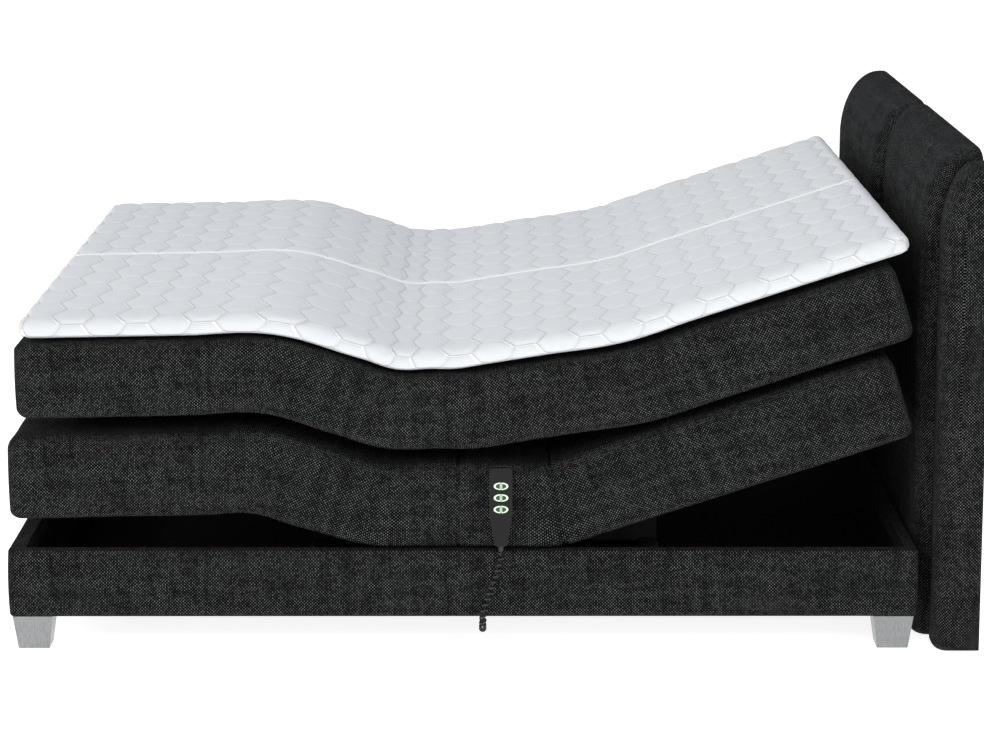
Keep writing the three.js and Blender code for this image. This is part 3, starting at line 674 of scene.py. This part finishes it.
def quilt_material():
    """White knitted cover cloth, with the stitched cell lines pressed in, painted shade in the creases and on
    the sides, and a painted highlight and a painted shadow along the lines.
    """
    n = Nodes("white_quilt")
    u, v, _ = n.split(n.place(1.0, "UV"))
    inside = n.minus(QUILT_EDGE, n.math("ABSOLUTE", v))
    row = n.plus(n.math("DIVIDE", n.math("MINIMUM", inside, 0.0), QUILT_SIDE),
                 n.math("DIVIDE", n.math("MAXIMUM", inside, 0.0), QUILT_ROW))
    row = n.plus(row, 0.5)
    column = n.math("DIVIDE", u, QUILT_COLUMN)
    cells = []
    for shift_column, shift_row in ((0.0, 0.0), (1.0, 0.5)):
        c = n.minus(column, shift_column)
        r = n.minus(row, shift_row)
        dx = n.math("PINGPONG", c, 1.0)
        dy = n.math("PINGPONG", r, 0.5)
        to_flat = n.times(n.minus(0.5, dy), QUILT_ROW)
        slant = n.minus(CELL_POINT, n.times(dy, 2 * (CELL_POINT - CELL_FLAT)))
        to_slant = n.times(n.minus(slant, dx), QUILT_COLUMN * 0.93)
        # Adding 1 metre takes a line out, so a cell keeps the painted highlight and shadow only on its far
        # and its headward lines.
        footward = n.math("GREATER_THAN", n.math("FRACT", n.times(c, 0.5)), 0.5)
        towards = n.times(n.minus(n.math("FRACT", r), 0.5), n.math("SIGN", v))
        other_half = n.math("LESS_THAN", towards, 0.0)
        edge = n.math("MINIMUM", to_flat, n.plus(to_slant, footward))
        cells.append((n.math("MINIMUM", to_flat, to_slant), n.plus(edge, other_half)))
    distance = n.math("MAXIMUM", cells[0][0], cells[1][0])
    second = n.math("GREATER_THAN", cells[1][0], cells[0][0])
    edge = n.span(second, 0, 1, cells[0][1], cells[1][1])
    beside = n.math("ABSOLUTE", n.minus(edge, LINE_WIDTH))
    bright = n.span(beside, 0.5 * MM, 4 * MM, 1.0, 0.0)
    dark = n.span(edge, 0.5 * MM, 2.5 * MM, 1.0, 0.0)
    distance = n.math("MINIMUM", distance, n.minus(n.math("ABSOLUTE", v), SEAM_HALF))
    crease = n.span(distance, 0.0, LINE_WIDTH, 0.0, 1.0, smooth=True)
    knit_x = n.math("SINE", n.times(u, 2 * math.pi / KNIT_ALONG))
    knit_y = n.math("SINE", n.times(v, 2 * math.pi / KNIT_ACROSS))
    knit = n.times(knit_x, knit_y)
    soft = n.noise(n.place(14.0), detail=4)
    # painted shade: the cloth is darker towards the stitched lines, in the creases of the cells
    colour = n.mix(crease, grey(0.76, (0.97, 0.985, 1.0)), grey(0.82, (0.965, 0.985, 1.0)))
    colour = n.mix(n.span(soft, 0.3, 0.7, 0.0, 0.25), colour, grey(0.80, (0.95, 0.97, 1.0)))
    # painted shade: the sides of the topper, beyond the edge of the top, are darker
    colour = n.mix(n.span(inside, -14 * MM, 0.0, 0.22, 0.0), colour, grey(0.42, (0.97, 0.985, 1.0)))
    # painted highlight: a bright line beside each kept stitched line
    colour = n.mix(bright, colour, grey(0.98))
    # painted shadow: a dark line along each kept stitched line
    colour = n.mix(n.times(dark, 0.6), colour, grey(0.40))
    colour = n.mix(n.span(n.math("ABSOLUTE", v), 5 * MM, 10 * MM, 1.0, 0.0), colour, grey(0.98))
    normal = n.bump(crease, 1.6 * MM, 0.8)
    fuzz = n.plus(n.times(knit, 0.3), n.noise(n.place(60.0), detail=4))
    normal = n.bump(fuzz, 0.5 * MM, 0.6, normal)
    return n.finish(colour, n.span(soft, 0.2, 0.8, 0.72, 0.88), normal, Specular_IOR_Level=0.25,
                    Sheen_Weight=0.15, Sheen_Roughness=0.5)


# ---- plinth ----
PLINTH_AIR = 0.3 * MM            # between the boards and the cover
PLINTH_SKIN = 1.2 * MM           # thickness of the cover where it is folded over
PLINTH_RADIUS = 11 * MM
PLINTH_FOLD = 45 * MM            # how far the cover reaches down inside the boards
PLINTH_SWELL = 2.5 * MM
PLINTH_SINK = 2.0 * MM


def build_plinth(material):
    """The fabric round the boards: padded outside, folded over their top and a little way down inside."""
    low, high = (np.array(c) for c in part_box("plinth_upholstery"))
    board = [np.array(c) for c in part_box("plinth_board_right")]
    air, skin, radius = PLINTH_AIR, PLINTH_SKIN, PLINTH_RADIUS
    wall_x = board[0][0] - air
    wall_x_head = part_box("plinth_board_head")[1][0] + air
    wall_y = -board[0][1] + air
    thick = board[1][1] - board[0][1] + 2 * air
    fold = high[2] - PLINTH_FOLD
    top = high[2] - 0.8 * MM
    rings = [wall_x, wall_x + thick, wall_x + thick + skin]
    rings_head = [wall_x_head - thick - skin, wall_x_head - thick, wall_x_head]
    across = [wall_y, wall_y - thick, wall_y - thick - skin]
    xs = grid_lines(low[0], high[0], 24 * MM, radius, radius, rings + rings_head)
    ys = grid_lines(low[1], high[1], 24 * MM, radius, radius, across + [-y for y in across])
    zs = grid_lines(low[2], high[2], 18 * MM, radius, 0, [fold, top])
    zs = np.unique(np.append(zs, [top, high[2]]))
    inner = ((rings[2], -across[2], -1), (rings_head[0], across[2], 1))
    boards = ((wall_x, -wall_y, -1), (wall_x_head, wall_y, top))
    behind = ((rings[1], -across[1], -1), (rings_head[1], across[1], top))
    flat, faces, axes = shell_ring(xs, ys, zs, inner, boards, behind, fold)
    uv = wrapped_map(flat, faces, axes, low, high)
    points, outward = rounded(flat, low, high, (radius, radius, radius), (radius, radius, 0.2 * MM))
    height = (points[:, 2] - low[2]) / (high[2] - low[2])
    swell = PLINTH_SWELL * (1 - (2 * height - 1) ** 2) * (1 - np.abs(outward[:, 2]))
    noise = 0.8 * MM * smooth_noise(points, 0.1, 8)
    points = points + outward * (swell + noise - PLINTH_SINK)[:, None] * (1 - np.abs(outward[:, 2:3]))
    on_side = (np.abs(outward[:, 2]) < 0.5) & (np.abs(outward).max(1) > 0.5)
    points = settle(points, faces, on_side & (high[2] - points[:, 2] > radius))
    piece = new_piece("plinth_cover", points, faces, uv)
    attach(piece, "root")
    make_cover(piece, material, "charcoal_fabric", "plinth_upholstery")


def shell_ring(xs, ys, zs, inner, boards, behind, fold):
    """The block without its inside and the boards' room: above the fold a thin skin stays behind the boards.

    inner, boards and behind are boxes, from the lowest corner to the highest: the open inside, the boards'
    outer faces and the boards' inner faces.
    """
    (x0, y0, _), (x1, y1, top) = boards
    (x2, y2, _), (x3, y3, _) = behind
    hollow = ((inner[0][0], inner[0][1], -FAR), (inner[1][0], inner[1][1], FAR))
    below_fold = ((x0, y0, -FAR), (x1, y1, fold))
    wood = [((x0, y0, -FAR), (x2, y1, top)), ((x3, y0, -FAR), (x1, y1, top)),
            ((x0, y0, -FAR), (x1, y2, top)), ((x0, y3, -FAR), (x1, y1, top))]
    return shell(xs, ys, zs, [hollow, below_fold, *wood])


# ---- headboard ----
PAD_ROUND = 46 * MM              # how far a pad's upright edges are drawn back
PAD_ROUND_WIDE = 58 * MM         # and over which width
PAD_CREST = 25 * MM              # the top stays level this far from the back
PAD_SWEEP = 170 * MM             # height of the rounded front top edge
PAD_FOOT = 10 * MM               # how far the bottom edge is drawn up at the sides
PAD_TUCK = {"right": 0.0, "centre": 24 * MM, "left": 0.0}     # how far the far end stands back
PAD_TUCK_BACK = 35 * MM          # the part of a pad before its back that isn't moved by the tuck
PAD_SIDE_COLUMNS = 5             # grid columns on a side face
PAD_SHARP = 50                   # edges of a pad sharper than this, in degrees, are drawn sharp
AIR = 0.4 * MM


def pad_outline(low, high, drawn, budget):
    """A pad's side view from its lower back corner, round the front and over the top, as x and z.

    drawn goes from 0 in the middle to 1 at the sides, where the edges are drawn back.
    """
    back = 0.35 * budget
    x0, z0, z1 = low[0] + drawn * PAD_ROUND, low[2] + drawn * PAD_FOOT, high[2] - drawn * 0.6 * budget
    fillet = (18 - 14 * drawn) * MM
    centre_x, centre_z = high[0] - PAD_CREST, high[2] - PAD_SWEEP
    points = []

    def straight(a, b, steps):
        for i in range(steps):
            points.append((a[0] + (b[0] - a[0]) * i / steps, a[1] + (b[1] - a[1]) * i / steps))

    def arc(x, z, rx, rz, start, end, steps):
        for i in range(steps):
            angle = math.radians(start + (end - start) * i / steps)
            points.append((x + rx * math.cos(angle), z + rz * math.sin(angle)))

    straight((high[0], z0), (x0 + fillet, z0), 4)
    arc(x0 + fillet, z0 + fillet, fillet, fillet, 270, 180, 6)
    straight((x0, z0 + fillet), (x0, centre_z), 44)
    arc(centre_x, centre_z, centre_x - x0, z1 - centre_z, 180, 90, 26)
    straight((centre_x, z1), (high[0] - back, z1), 2)
    arc(high[0] - back, z1 - back, back, back, 90, 0, 5)
    points.append((high[0], z1 - back))
    return np.array(points)


def pad_columns(label, outer_low, outer_high):
    """The columns across a pad: for each its kind, its points in the side view and its Y."""
    low, high = (np.array(c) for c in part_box(f"headboard_pad_{label}"))
    board = [np.array(c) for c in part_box("headboard_board")]
    rim_low, rim_high = board[0][2] - AIR, board[1][2] + AIR
    budget = high[2] - rim_high - 2 * MM
    outline = pad_outline(low, high, 0, budget)
    lengths = np.concatenate([[0], np.cumsum(np.linalg.norm(np.diff(outline, axis=0), axis=1))])
    back_low, back_high = low[2] + PAD_FOOT, high[2] - 0.95 * budget
    back_z = back_low + (back_high - back_low) * lengths / lengths[-1]
    inner = np.where((back_z > rim_low) & (back_z < rim_high), board[0][0] - AIR, high[0])
    recess = np.stack([inner, back_z], 1)
    back = np.stack([np.full(len(outline), high[0]), back_z], 1)
    side = pad_outline(low, high, 1, budget)
    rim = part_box("headboard_pad_left")[1][1] - board[1][1] - AIR
    y_low, y_high = low[1] + AIR, high[1] - AIR
    wide = min(PAD_ROUND_WIDE, 0.4 * (y_high - y_low))
    half = (y_high - y_low) / 2

    def edge(outer, y, inward):
        if not outer:
            start, found = recess, [("recess", recess, y)]
        else:
            start = back
            found = [("recess", recess, y + inward * rim), ("back", back, y + inward * rim),
                     ("side", back, y)]
        found += [("side", start + (side - start) * i / PAD_SIDE_COLUMNS, y)
                  for i in range(1, PAD_SIDE_COLUMNS)]
        for angle in np.radians(np.linspace(90, 0, 9)):
            drawn = 1 - math.cos(angle)
            found.append(("front", pad_outline(low, high, drawn, budget),
                          y + inward * wide * (1 - math.sin(angle))))
        return found

    columns = edge(outer_low, y_low, 1)
    middle = np.linspace(y_low + wide, y_high - wide, 4 + round(half / (24 * MM)))[1:-1]
    columns += [("front", outline, y) for y in middle]
    columns += edge(outer_high, y_high, -1)[::-1]
    kinds = [kind for kind, _, _ in columns]
    grid = np.stack([np.stack([plane[:, 0], np.full(len(plane), y), plane[:, 1]], 1)
                     for _, plane, y in columns])
    return kinds, grid, lengths, low, high


def tuck_pad(grid, low, high, tuck):
    """Stands the pad's far end back behind its neighbour, with slight unevenness of the filling."""
    across = (grid[..., 1] - low[1]) / (high[1] - low[1])
    rear = high[0] - PAD_TUCK_BACK
    front = np.clip((rear - grid[..., 0]) / (rear - low[0]), 0, 1)
    noise = smooth_noise(grid.reshape(-1, 3), 0.12, 11).reshape(front.shape)
    grid[..., 0] += front * (tuck * across ** 2 + 1.0 * MM * (1 + noise))
    return grid


def pad_maps(kinds, grid, lengths):
    """Cloth coordinates of every quad's corners: wrapped round the front, level on the side faces."""
    columns, rows = grid.shape[:2]
    steps = np.linalg.norm(np.diff(grid[:, rows // 2], axis=0), axis=1)
    across = np.concatenate([[0], np.cumsum(steps)])
    front = np.stack(np.broadcast_arrays(across[:, None], lengths[None, :] - 0.11), -1)
    fronts = [i for i, kind in enumerate(kinds) if kind == "front"]
    ahead = np.roll(np.arange(columns), -1)
    corners = np.zeros((columns, rows - 1, 4, 2))
    for i in range(columns):
        j = ahead[i]
        if kinds[i] == kinds[j] == "front":
            a, b = front[i], front[j]
        else:
            first = i < fronts[0]
            edge = fronts[0] if first else fronts[-1]
            sign = -1 if first else 1
            a, b = (np.stack([across[edge] + sign * (grid[k, :, 0] - grid[edge, rows // 2, 0]),
                              grid[k, :, 2]], -1) for k in (i, j))
        corners[i] = np.stack([a[:-1], a[1:], b[1:], b[:-1]], 1)
    return corners


def build_pad(label, outer_low, outer_high, material):
    """One headboard pad with rounded edges and, behind it, room for the board."""
    kinds, grid, lengths, low, high = pad_columns(label, outer_low, outer_high)
    grid = tuck_pad(grid, low, high, PAD_TUCK[label])
    columns, rows = grid.shape[:2]
    number = np.arange(columns * rows).reshape(columns, rows)
    ahead = np.roll(number, -1, 0)
    quads = np.stack([number[:, :-1], number[:, 1:], ahead[:, 1:], ahead[:, :-1]], -1).reshape(-1, 4)
    faces = quads.tolist() + [list(number[:, 0]), list(number[::-1, -1])]
    caps = np.concatenate([grid[:, 0, 1:], grid[::-1, -1, 1:]])
    corners = np.concatenate([pad_maps(kinds, grid, lengths).reshape(-1, 2), caps])
    free = np.zeros((columns, rows), bool)
    free[[i for i, kind in enumerate(kinds) if kind == "front"], 8:-8] = True
    points = settle(grid.reshape(-1, 3), faces, free.ravel())
    piece = new_piece(f"pad_{label}_cover", points, faces, corners, PAD_SHARP)
    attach(piece, "root")
    make_cover(piece, material, "charcoal_fabric", f"headboard_pad_{label}")


def build_headboard(material):
    """The three pads side by side: only the outer ends of the outer ones are closed round the board."""
    build_pad("right", True, False, material)
    build_pad("centre", False, False, material)
    build_pad("left", False, True, material)


# ---- cord ----
def curl_path():
    """The points of the helix that the wire makes along the cord's route."""
    route = np.array(CURL_ROUTE) * MM
    knots = [0.0]
    for a, b in zip(route, route[1:]):
        knots.append(knots[-1] + np.linalg.norm(b - a) ** 0.5)
    knots = np.array(knots)
    tangents = np.gradient(route, knots, axis=0)
    fine = []
    for i in range(len(route) - 1):
        span = knots[i + 1] - knots[i]
        for t in np.linspace(0, 1, ROUTE_STEPS, endpoint=i == len(route) - 2):
            h00, h10 = 2 * t ** 3 - 3 * t ** 2 + 1, t ** 3 - 2 * t ** 2 + t
            h01, h11 = -2 * t ** 3 + 3 * t ** 2, t ** 3 - t ** 2
            fine.append(h00 * route[i] + h10 * span * tangents[i] + h01 * route[i + 1]
                        + h11 * span * tangents[i + 1])
    fine = np.array(fine)
    along = np.concatenate([[0], np.cumsum(np.linalg.norm(np.diff(fine, axis=0), axis=1))])
    turns = along[-1] / CURL_PITCH
    at = np.linspace(0, along[-1], round(turns * POINTS_PER_TURN))
    centre = np.stack([np.interp(at, along, fine[:, k]) for k in range(3)], 1)
    forward = np.gradient(centre, axis=0)
    forward /= np.linalg.norm(forward, axis=1)[:, None]
    normal = np.zeros_like(centre)
    normal[0] = np.cross(forward[0], (0, 1, 0))
    for i in range(1, len(centre)):
        normal[i] = normal[i - 1] - forward[i] * (normal[i - 1] @ forward[i])
        normal[i] /= np.linalg.norm(normal[i])
    other = np.cross(forward, normal)
    ends = np.clip(np.minimum(at, along[-1] - at) / CURL_EASE, 0, 1)
    radius = CURL_RADIUS * ends * ends * (3 - 2 * ends)
    phase = at / CURL_PITCH * 2 * math.pi
    return centre + (np.cos(phase) * radius)[:, None] * normal + (np.sin(phase) * radius)[:, None] * other


def tube(name, path, radius, sides):
    """A closed tube along a path, as a mesh."""
    forward = np.gradient(path, axis=0)
    forward /= np.linalg.norm(forward, axis=1)[:, None]
    normal = np.cross(forward[0], (0.0, 1.0, 0.0))
    normal /= np.linalg.norm(normal)
    rings = []
    for i, centre in enumerate(path):
        normal = normal - forward[i] * (normal @ forward[i])
        normal /= np.linalg.norm(normal)
        other = np.cross(forward[i], normal)
        angle = np.linspace(0, 2 * math.pi, sides, endpoint=False)[:, None]
        rings.append(centre + radius * (np.cos(angle) * normal + np.sin(angle) * other))
    points = np.concatenate(rings)
    number = np.arange(len(points)).reshape(len(path), sides)
    a, b = number[:-1], number[1:]
    c, d = np.roll(b, -1, 1), np.roll(a, -1, 1)
    faces = np.stack([a, d, c, b], -1).reshape(-1, 4).tolist()
    faces += [list(number[0][::-1]), list(number[-1])]
    return new_piece(name, points, faces)


def build_cord(material):
    """The curly cord: a coiled wire along its route."""
    path = curl_path()
    piece = tube("curly_cord", path, WIRE_DIAMETER / 2, WIRE_SIDES)
    piece.data.materials.append(material)
    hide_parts("cord_curl")
    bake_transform(piece)


def cord_material():
    n = Nodes("cord_rubber")
    grain = n.noise(n.place(180.0), detail=3)
    colour = n.mix(n.span(grain, 0.35, 0.65, 0, 1), grey(0.010), grey(0.022))
    return n.finish(colour, n.span(grain, 0.3, 0.7, 0.38, 0.55), n.bump(grain, 0.2 * MM, 0.5),
                    Specular_IOR_Level=0.5)


def metal_material():
    """Satin aluminium-look metal, brushed up and down."""
    n = Nodes("satin_metal")
    brushed = n.noise(n.place(60.0, stretch=(9, 9, 0.5)), detail=3)
    cloudy = n.noise(n.place(12.0), detail=2)
    dull, bright = grey(0.23, (0.96, 0.98, 1.0)), grey(0.32, (0.97, 0.99, 1))
    colour = n.mix(n.span(brushed, 0.3, 0.7, 0, 1), dull, bright)
    rough = n.plus(n.span(brushed, 0.3, 0.7, 0.26, 0.36), n.span(cloudy, 0.3, 0.7, -0.04, 0.04))
    return n.finish(colour, rough, n.bump(brushed, 0.1 * MM, 0.25), Metallic=1.0)


def steel_material():
    """Black powder-coated steel with a fine orange-peel surface and rubbed patches."""
    n = Nodes("black_steel")
    peel = n.noise(n.place(420.0), detail=2)
    rubbed = n.noise(n.place(22.0), detail=5)
    colour = n.mix(n.span(rubbed, 0.55, 0.75, 0, 0.6), grey(0.018), grey(0.045))
    rough = n.span(rubbed, 0.3, 0.7, 0.42, 0.56)
    return n.finish(colour, rough, n.bump(peel, 0.15 * MM, 0.5), Metallic=0.3)


def plastic_material(name, shade, rough_low, rough_high):
    """Moulded plastic with a fine spark-eroded grain and a little uneven gloss."""
    n = Nodes(name)
    spark = n.noise(n.place(500.0), detail=2)
    handled = n.noise(n.place(30.0), detail=3)
    colour = n.mix(n.span(handled, 0.3, 0.7, 0, 1), grey(shade * 0.85), grey(shade * 1.15))
    rough = n.span(handled, 0.3, 0.7, rough_low, rough_high)
    return n.finish(colour, rough, n.bump(spark, 0.05 * MM, 0.4), Specular_IOR_Level=0.2)


def plywood_material():
    """Birch plywood: pale grain along the sheet and thin glue lines that show on its edges."""
    n = Nodes("plywood")
    grain = n.noise(n.place(14.0, stretch=(0.35, 6, 6)), detail=5, roughness=0.6)
    _, y, z = n.split(n.place(1.0))
    layer = n.math("PINGPONG", n.math("DIVIDE", n.plus(z, n.times(y, 0.02)), 3 * MM), 0.5)
    ply = n.span(layer, 0.05, 0.15, 0.75, 1.0)
    pale, tan = grey(0.50, (1.0, 0.74, 0.46)), grey(0.36, (1.0, 0.68, 0.38))
    colour = n.mix(n.span(grain, 0.35, 0.65, 0, 1), pale, tan)
    colour = n.mix(ply, grey(0.20, (1.0, 0.62, 0.36)), colour)
    return n.finish(colour, n.span(grain, 0.3, 0.7, 0.55, 0.72), n.bump(grain, 0.3 * MM, 0.4))


def board_material():
    """Hardboard stained black, with a faint fibrous surface. Its near-black colour is partly the stain and
    partly painted shade for the dark inside of the plinth.
    """
    n = Nodes("dark_board")
    fibre = n.noise(n.place(120.0), detail=5)
    # partly painted shade: the near-black stands in for the shade inside the plinth as well as the board's
    # stain
    colour = n.mix(n.span(fibre, 0.35, 0.65, 0, 1), grey(0.004), grey(0.010, (1.0, 0.95, 0.9)))
    return n.finish(colour, 0.95, n.bump(fibre, 0.2 * MM, 0.4), Specular_IOR_Level=0.1)


def key_material(side):
    """Half an oval of dark green lit plastic with a glowing pale rim. side is 1 for the left half."""
    n = Nodes(f"key_plastic_{'left' if side else 'right'}")
    x, _, z = n.split(n.place(1.0, "Generated"))
    away_x = n.minus(1.0, x) if side else x
    away_z = n.times(n.minus(z, 0.5), 2.0)
    reach = n.math("SQRT", n.plus(n.math("POWER", away_x, 2.0), n.math("POWER", away_z, 2.0)))
    rim = n.math("MAXIMUM", n.span(reach, 0.70, 0.78, 0.0, 1.0), n.span(away_x, 0.07, 0.12, 1.0, 0.0))
    cloud = n.noise(n.place(90.0), detail=1)
    inside = n.mix(cloud, grey(0.03, (0.4, 1.0, 0.4)), grey(0.06, (0.4, 1.0, 0.5)))
    colour = n.mix(rim, inside, grey(0.72, (0.78, 1.0, 0.72)))
    n.link(colour, n.shader.inputs["Emission Color"])
    n.shader.inputs["Emission Strength"].default_value = 0.6
    return n.finish(colour, n.span(cloud, 0, 1, 0.3, 0.5))


SLOT_LOOKS = {
    "plywood": plywood_material,
    "dark_board": board_material,
    "satin_metal": metal_material,
    "black_steel": steel_material,
    "dark_plastic": lambda: plastic_material("dark_plastic", 0.006, 0.18, 0.28),
    "grey_plastic": lambda: plastic_material("grey_plastic", 0.06, 0.4, 0.52),
    "roller_plastic": lambda: plastic_material("roller_plastic", 0.62, 0.42, 0.55),
    "key_left": lambda: key_material(1),
    "key_right": lambda: key_material(0),
    "cord_rubber": cord_material,
}
EDGE_ROUND = {                   # in millimetres
    "satin_metal": 1.6, "dark_plastic": 1.6, "grey_plastic": 1.2, "plywood": 0.8, "black_steel": 0.8,
    "dark_board": 0.5, "roller_plastic": 0.7, "key_left": 0.5, "key_right": 0.5, "cord_rubber": 0.8,
}


def dress_cad_nodes():
    """Gives every CAD node that stays in sight its material and softened edges."""
    made = {}
    for row in frame["record"]["subparts"]:
        slot, node = row["material_slot"], NODES[row["node"]]
        if node.hide_render:
            continue
        if slot == "key_plastic":
            slot = "key_left" if row["node"].endswith("_left") else "key_right"
        if slot not in made:
            made[slot] = SLOT_LOOKS[slot]()
        node.data.materials.clear()
        node.data.materials.append(made[slot])
        bevel = node.modifiers.new("edges", "BEVEL")
        bevel.width = EDGE_ROUND[slot] * MM
        bevel.segments = 2
        bevel.limit_method = "ANGLE"
        bevel.angle_limit = math.radians(40)
        bevel.harden_normals = True
        node.data.polygons.foreach_set("use_smooth", np.ones(len(node.data.polygons), bool))


def frame_room():
    """The boxes that stay free in the flat box layer: one for the decks, and two for each hinge's ears."""
    room = [(DECK_LOW, DECK_HIGH)]
    for hinge in ("knee_hinge", "thigh_hinge", "back_hinge"):
        ear = flat_pivot(JOINTS[hinge])
        for y_low, y_high in (EAR_Y, (-EAR_Y[1], -EAR_Y[0])):
            low = (ear.x - EAR_HALF, y_low, DECK_LOW[2])
            high = (ear.x + EAR_HALF, y_high, ear.z + EAR_RISE)
            room.append((low, high))
    return room


build_camera()
build_stage()
charcoal = charcoal_material()
build_cord(cord_material())
build_plinth(charcoal)
deck_room = frame_room()
room_corners = [sorted({corner[axis] for box in deck_room for corner in box}) for axis in range(3)]
build_layer(
    "box", (28 * MM, 26 * MM, 22 * MM), (28 * MM, 26 * MM, 34 * MM), box_relief, charcoal, "charcoal_fabric",
    deck_room, SEAMS, [x + d * MM for x in SEAMS for d in (-9, -5, -2, 0, 2, 5, 9)] + room_corners[0],
    room_corners[1], room_corners[2])
build_layer(
    "mattress", (30 * MM, 26 * MM, 28 * MM), (30 * MM, 26 * MM, 20 * MM), mattress_relief, charcoal,
    "charcoal_fabric")
build_layer(
    "topper", (24 * MM, 24 * MM, 20 * MM), (24 * MM, 24 * MM, 26 * MM), topper_relief, quilt_material(),
    "white_quilt", extra_y=[side * d * MM for d in (3, 6, 9, 12, 16) for side in (-1, 1)] + [0.0])
build_headboard(charcoal)
dress_cad_nodes()
